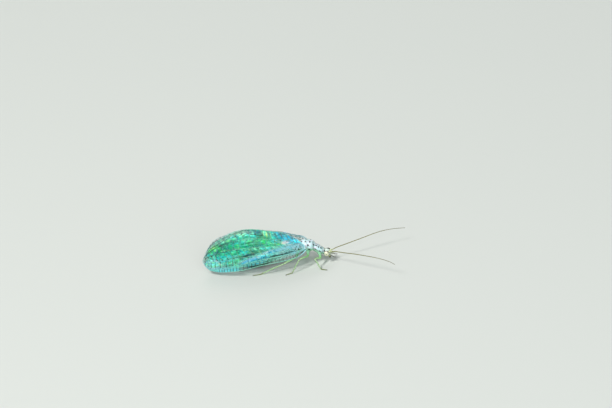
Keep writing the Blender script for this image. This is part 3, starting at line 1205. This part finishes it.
def make_leg(name, materials, coat):
    """Trochanter, femur and tibia as one piece, and a foot as another."""
    pair, hand = name.split("_")
    side = SIDES[hand]
    _, _, hip, knee, ankle, toe = LEGS[name]
    hip, knee, ankle, toe = (mirrored(np.array(p), side) for p in (hip, knee, ankle, (*toe, TOE_HEIGHT)))
    row = 0.05 + 0.15 * list(LEGS).index(name)  # this leg's strip of the bristles' unwrap
    leg = Shape()
    thick, middle = (0.140, 0.078) if pair == "hind" else (0.125, 0.066)
    femur = even_line([hip, 0.5 * (hip + knee) + (0, 0, 0.05), knee], FEMUR_RINGS)
    share = np.linspace(0, 1, FEMUR_RINGS)
    radii = np.interp(share, (0, 0.06, 0.12, 0.16, 0.45, 0.85, 0.95, 1),
                      (0.10, 0.125, 0.115, 0.095, thick, 0.098, 0.105, 0.075))
    colour = mix(LEG_GREEN, LEG_PALE, smoothstep(0.3, 1, share))
    add_tube(leg, femur, radii, 20, mix(colour, BLACK * 3, 0.55 * bell(share, 0.985, 0.02)))
    tibia = even_line([knee, 0.5 * (knee + ankle) + (0, 0, 0.04), ankle], TIBIA_RINGS)
    share = np.linspace(0, 1, TIBIA_RINGS)
    radii = np.interp(share, (0, 0.03, 0.10, 0.5, 0.93, 0.98, 1),
                      (0.055, 0.085, 0.070, middle, 0.066, 0.074, 0.05))
    colour = mix(LEG_PALE, LEG_GREEN, 0.5 * bell(share, 0.5, 0.3))
    add_tube(leg, tibia, radii, 18, mix(colour, FOOT_BROWN, 0.6 * smoothstep(0.9, 1.0, share)))
    coat.on_tube(femur, np.full(FEMUR_RINGS, thick * 0.85), 150, 0.10, 0.9, (0.05, row))
    coat.on_tube(tibia, np.full(TIBIA_RINGS, 0.068), 330, 0.11, 1.0, (0.30, row))
    spurs = ankle + np.array(((0, 0.03, 0.05), (0, -0.03, 0.05)))
    down = np.tile(unit(ankle - knee), (2, 1))
    coat.add(spurs, down, down, 0.16, 0.011, np.full((2, 2), row), 0.5)
    leg.piece(f"shank_{name}", materials["leg"], "leg", [f"leg_{name}_femur", f"leg_{name}_tibia"])
    make_foot(name, ankle, toe, materials["foot"], coat, row)


def make_foot(name, ankle, toe, material, coat, row):
    """A foot of five joints, with a pad and two claws."""
    foot = Shape()
    heel = ankle + (toe - ankle) * 0.22
    heel[2] = 0.066
    line = even_line([ankle, heel, toe], FOOT_RINGS)
    length = np.linspace(0, 1, FOOT_RINGS)
    pinch = sum(bell(length, joint, 0.018) for joint in FOOT_JOINTS)
    swell = sum(bell(length, joint - 0.035, 0.03) for joint in (*FOOT_JOINTS, 1.0))
    radii = np.interp(length, (0, 0.5, 1), (0.060, 0.052, 0.044)) * (1 - 0.34 * pinch + 0.16 * swell)
    radii[0], radii[-1] = 0.035, 0.03
    line[:, 2] = np.maximum(line[:, 2], radii)
    colour = mix(FOOT_GREEN, FOOT_BROWN * 0.6, 0.8 * pinch)
    add_tube(foot, line, radii, 14, mix(colour, FOOT_BROWN * 0.7, 0.7 * smoothstep(0.75, 1.0, length)))
    coat.on_tube(line[6:], radii[6:], 150, 0.055, 1.2, (0.60, row), True)
    ahead = unit((toe - ankle) * (1, 1, 0))
    beside = np.array((-ahead[1], ahead[0], 0))
    for hand in (-1, 1):
        claw = [toe + ahead * far + beside * hand * wide + (0, 0, up) for far, wide, up in CLAW]
        add_tube(foot, even_line(claw, 12), np.linspace(0.018, 0.004, 12), 8, BLACK * 3)
    under = toe + ahead * 0.045 + (0, 0, -0.02)
    pad, faces = ball(under, (ahead, beside, (0, 0, 1)), (0.045, 0.035, 0.02), 8, 12)
    foot.add(pad, faces, FOOT_BROWN * 0.5)
    foot.piece(f"foot_{name}", material, "foot", [f"leg_{name}_tarsus"])


def add_body_bristles(coat, mesh):
    """Short bristles over the head, the thorax and the abdomen, which lean to the tail."""
    points, normals = vectors(mesh.vertices, "co"), vectors(mesh.vertex_normals, "vector")
    x = points[:, 0]
    weight = 0.35 + 0.65 * (x > -1.8)
    weight = np.where(points[:, 2] < 0.25, 0, weight) * np.where((x > 1.2) & (normals[:, 2] > 0), 1.6, 1)
    chosen = coat.random.choice(len(points), 3200, replace=False, p=weight / weight.sum())
    roots, out, count = points[chosen], normals[chosen], len(chosen)
    along = unit(np.tile((-1.0, 0, -0.15), (count, 1)) + 0.25 * coat.random.normal(size=(count, 3)))
    x = roots[:, 0]
    turn = np.arctan2(roots[:, 1], roots[:, 2] - np.interp(x, BODY_RISING[:, 0], BODY_RISING[:, 1]))
    places = np.column_stack([0.05 + 0.9 * (x + 8.9) / 12.4, 0.5 + 0.14 * turn])
    length = np.where(x > 1.2, 0.11, 0.085) * coat.random.uniform(0.7, 1.3, count)
    coat.add(roots, out, along, length, BRISTLE_RADIUS, places, 0.7)


MOUTH_PALE = np.array((0.66, 0.70, 0.42))
MOUTH_DARK = BLACK * 2.2
JAW_TIP = np.array((0.25, 0.10, 0.04))


def make_mouth(material):
    """Jaws and two pairs of jointed mouth feelers."""
    shape = Shape()
    for side in SIDES.values():
        jaw = [head_point(-0.46, side * 0.20, 0.16), head_point(-0.60, side * 0.17, 0.20),
               head_point(-0.70, side * 0.04, 0.23)]
        colour = mix(MOUTH_PALE, JAW_TIP, np.linspace(0, 1.2, 16))
        add_tube(shape, even_line(jaw, 16), np.linspace(0.085, 0.018, 16), 14, colour)
        root = head_point(-0.46, side * 0.33, 0.58)
        first = root + unit(FRONT * 0.75 - CROWN * 0.6 + LEFT * side * 0.25) * PALP_LENGTH * 0.5
        last = first + unit(FRONT * 0.95 - CROWN * 0.25 + LEFT * side * 0.15) * PALP_LENGTH * 0.5
        path = [head_point(-0.44, side * 0.22, 0.12), head_point(-0.47, side * 0.31, 0.36), root, first, last]
        share = np.linspace(0, 1, 70)
        pinch = sum(bell(share, at, 0.018) for at in (0.14, 0.30, 0.52, 0.74))
        radii = np.interp(share, (0, 0.5, 0.8, 0.97, 1), (0.046, 0.050, 0.046, 0.024, 0.010))
        colour = mix(MOUTH_PALE, MOUTH_DARK, 0.9 * smoothstep(0.1, 0.25, share) - 0.8 * pinch)
        add_tube(shape, even_line(path, 70), radii * (1 - 0.38 * pinch), 12, colour)
        path = [head_point(-0.60, side * 0.07, 0.02), head_point(-0.74, side * 0.13, 0.10),
                head_point(-0.80, side * 0.17, 0.26)]
        share = np.linspace(0, 1, 36)
        pinch = sum(bell(share, at, 0.03) for at in (0.33, 0.66))
        radii = np.interp(share, (0, 0.8, 1), (0.036, 0.034, 0.010)) * (1 - 0.35 * pinch)
        add_tube(shape, even_line(path, 36), radii, 10, mix(MOUTH_PALE, MOUTH_DARK, 0.8 - 0.6 * pinch))
    shape.piece("mouthparts", material, "feeler", ["palp_left", "palp_right"])


# The whole insect

skin_shape = Shape()
add_body(skin_shape)
add_head(skin_shape)
add_coxae(skin_shape)
add_wing_roots(skin_shape)
skin_mesh = fused(skin_shape, "skin", 0.030)
paint_skin(skin_mesh)
skin_material = painted("shell", 0.42, 0.5, 0.10, 16000.0, ((9000.0, 0.000012), (38000.0, 0.000004)))
flesh = ["head", "prothorax", "mesothorax", "metathorax", "abdomen", "terminalia"]
flesh += [f"leg_{name}_coxa" for name in LEGS]
bristle_finish, _ = new_material("bristle", Base_Color=(0.20, 0.19, 0.14, 1), Roughness=0.5)
body_coat = Coat(11)
add_body_bristles(body_coat, skin_mesh)
body_coat.piece("bristles_body", bristle_finish, "thorax")
make_piece("skin", skin_mesh, skin_material, flesh)

eye_finish = eye_material()
feeler_finish = painted("feeler_shell", 0.5, 0.4, 0.12, 30000.0, ((30000.0, 0.000006),))
leg_finish = painted("leg_shell", 0.42, 0.5, 0.10, 20000.0, ((18000.0, 0.000008),))
foot_finish = painted("foot_shell", 0.5, 0.4, 0.12, 30000.0, ((30000.0, 0.000006),))
vein_finish = painted("wing_vein", 0.35, 0.6, 0.10, 9000.0, ((26000.0, 0.000004),))
film_finish = membrane_material()
feeler_coat, leg_coat = Coat(12), Coat(13)
for hand, side in SIDES.items():
    make_eye(hand, side, eye_finish)
    make_antenna(hand, side, feeler_finish, feeler_coat)
for name in LEGS:
    make_leg(name, {"leg": leg_finish, "foot": foot_finish}, leg_coat)
make_mouth(feeler_finish)
feeler_coat.piece("bristles_feelers", bristle_finish, "feeler")
leg_coat.piece("bristles_legs", bristle_finish, "leg")
wing_coats = {"right": Coat(14), "left": Coat(15)}
for wing in ("fore", "hind"):
    tree = vein_tree(wing)
    for hand, side in SIDES.items():
        sheet = membrane_mesh(f"membrane_{wing}_{hand}", wing, side, tree)
        make_piece(f"membrane_{wing}_{hand}", sheet, film_finish, [f"{wing}wing_{hand}"])
        veins_shape(wing, side, wing_coats[hand]).piece(f"veins_{wing}_{hand}", vein_finish, "wing")
for hand, coat in wing_coats.items():
    coat.piece(f"bristles_wings_{hand}", bristle_finish, "wing")


# Stage, light and camera

FLOOR_REACH = 1.5


def make_floor():
    mesh = bpy.data.meshes.new("floor")
    corners = [(x * FLOOR_REACH, y * FLOOR_REACH, 0) for x, y in ((-1, -1), (1, -1), (1, 1), (-1, 1))]
    mesh.from_pydata(corners, [], [(0, 1, 2, 3)])
    material, _ = new_material("pale_floor", Base_Color=(0.64, 0.67, 0.64, 1), Roughness=0.9,
                               Specular_IOR_Level=0.1)
    mesh.materials.append(material)
    place_object("floor", mesh)


def make_light(name, place, size, power, colour):
    """A square soft light that faces the insect."""
    lamp = bpy.data.lights.new(name, "AREA")
    lamp.size = size
    lamp.energy = power
    lamp.color = colour
    light = place_object(name, lamp)
    light.location = place
    light.rotation_euler = Vector(place).to_track_quat("Z", "Y").to_euler()


def make_camera():
    """The photograph's place of view, 45 cm from the insect, over a frame 82 mm wide."""
    hinge = (HINGE + Vector(SHIFT)) * MM
    target = hinge + RIGHTWARD * 0.00027 + UPWARD * 0.00576
    distance, width, sensor = 0.45, 0.082, 36
    lens = bpy.data.cameras.new("camera")
    lens.sensor_width = sensor
    lens.lens = sensor * distance / width
    lens.clip_start = 0.001
    camera = place_object("camera", lens)
    camera.location = target + OUTWARD * distance
    camera.rotation_euler = Matrix((RIGHTWARD, UPWARD, OUTWARD)).transposed().to_euler()
    bpy.context.scene.camera = camera


def make_world():
    world = bpy.data.worlds.new("studio")
    bpy.context.scene.world = world
    world.use_nodes = True
    set_inputs(world.node_tree.nodes["Background"], Color=(0.93, 0.97, 1.0, 1), Strength=0.30)


make_floor()
make_light("key", (-0.22, -0.26, 0.52), 0.15, 2.9, (1.0, 0.98, 0.95))
make_light("fill", (0.30, -0.52, 0.26), 0.36, 1.5, (0.92, 0.97, 1.0))
make_light("rim", (-0.10, 0.50, 0.35), 0.30, 0.9, (1.0, 1.0, 0.97))
make_world()
make_camera()
bpy.context.scene.view_settings.view_transform = "Standard"
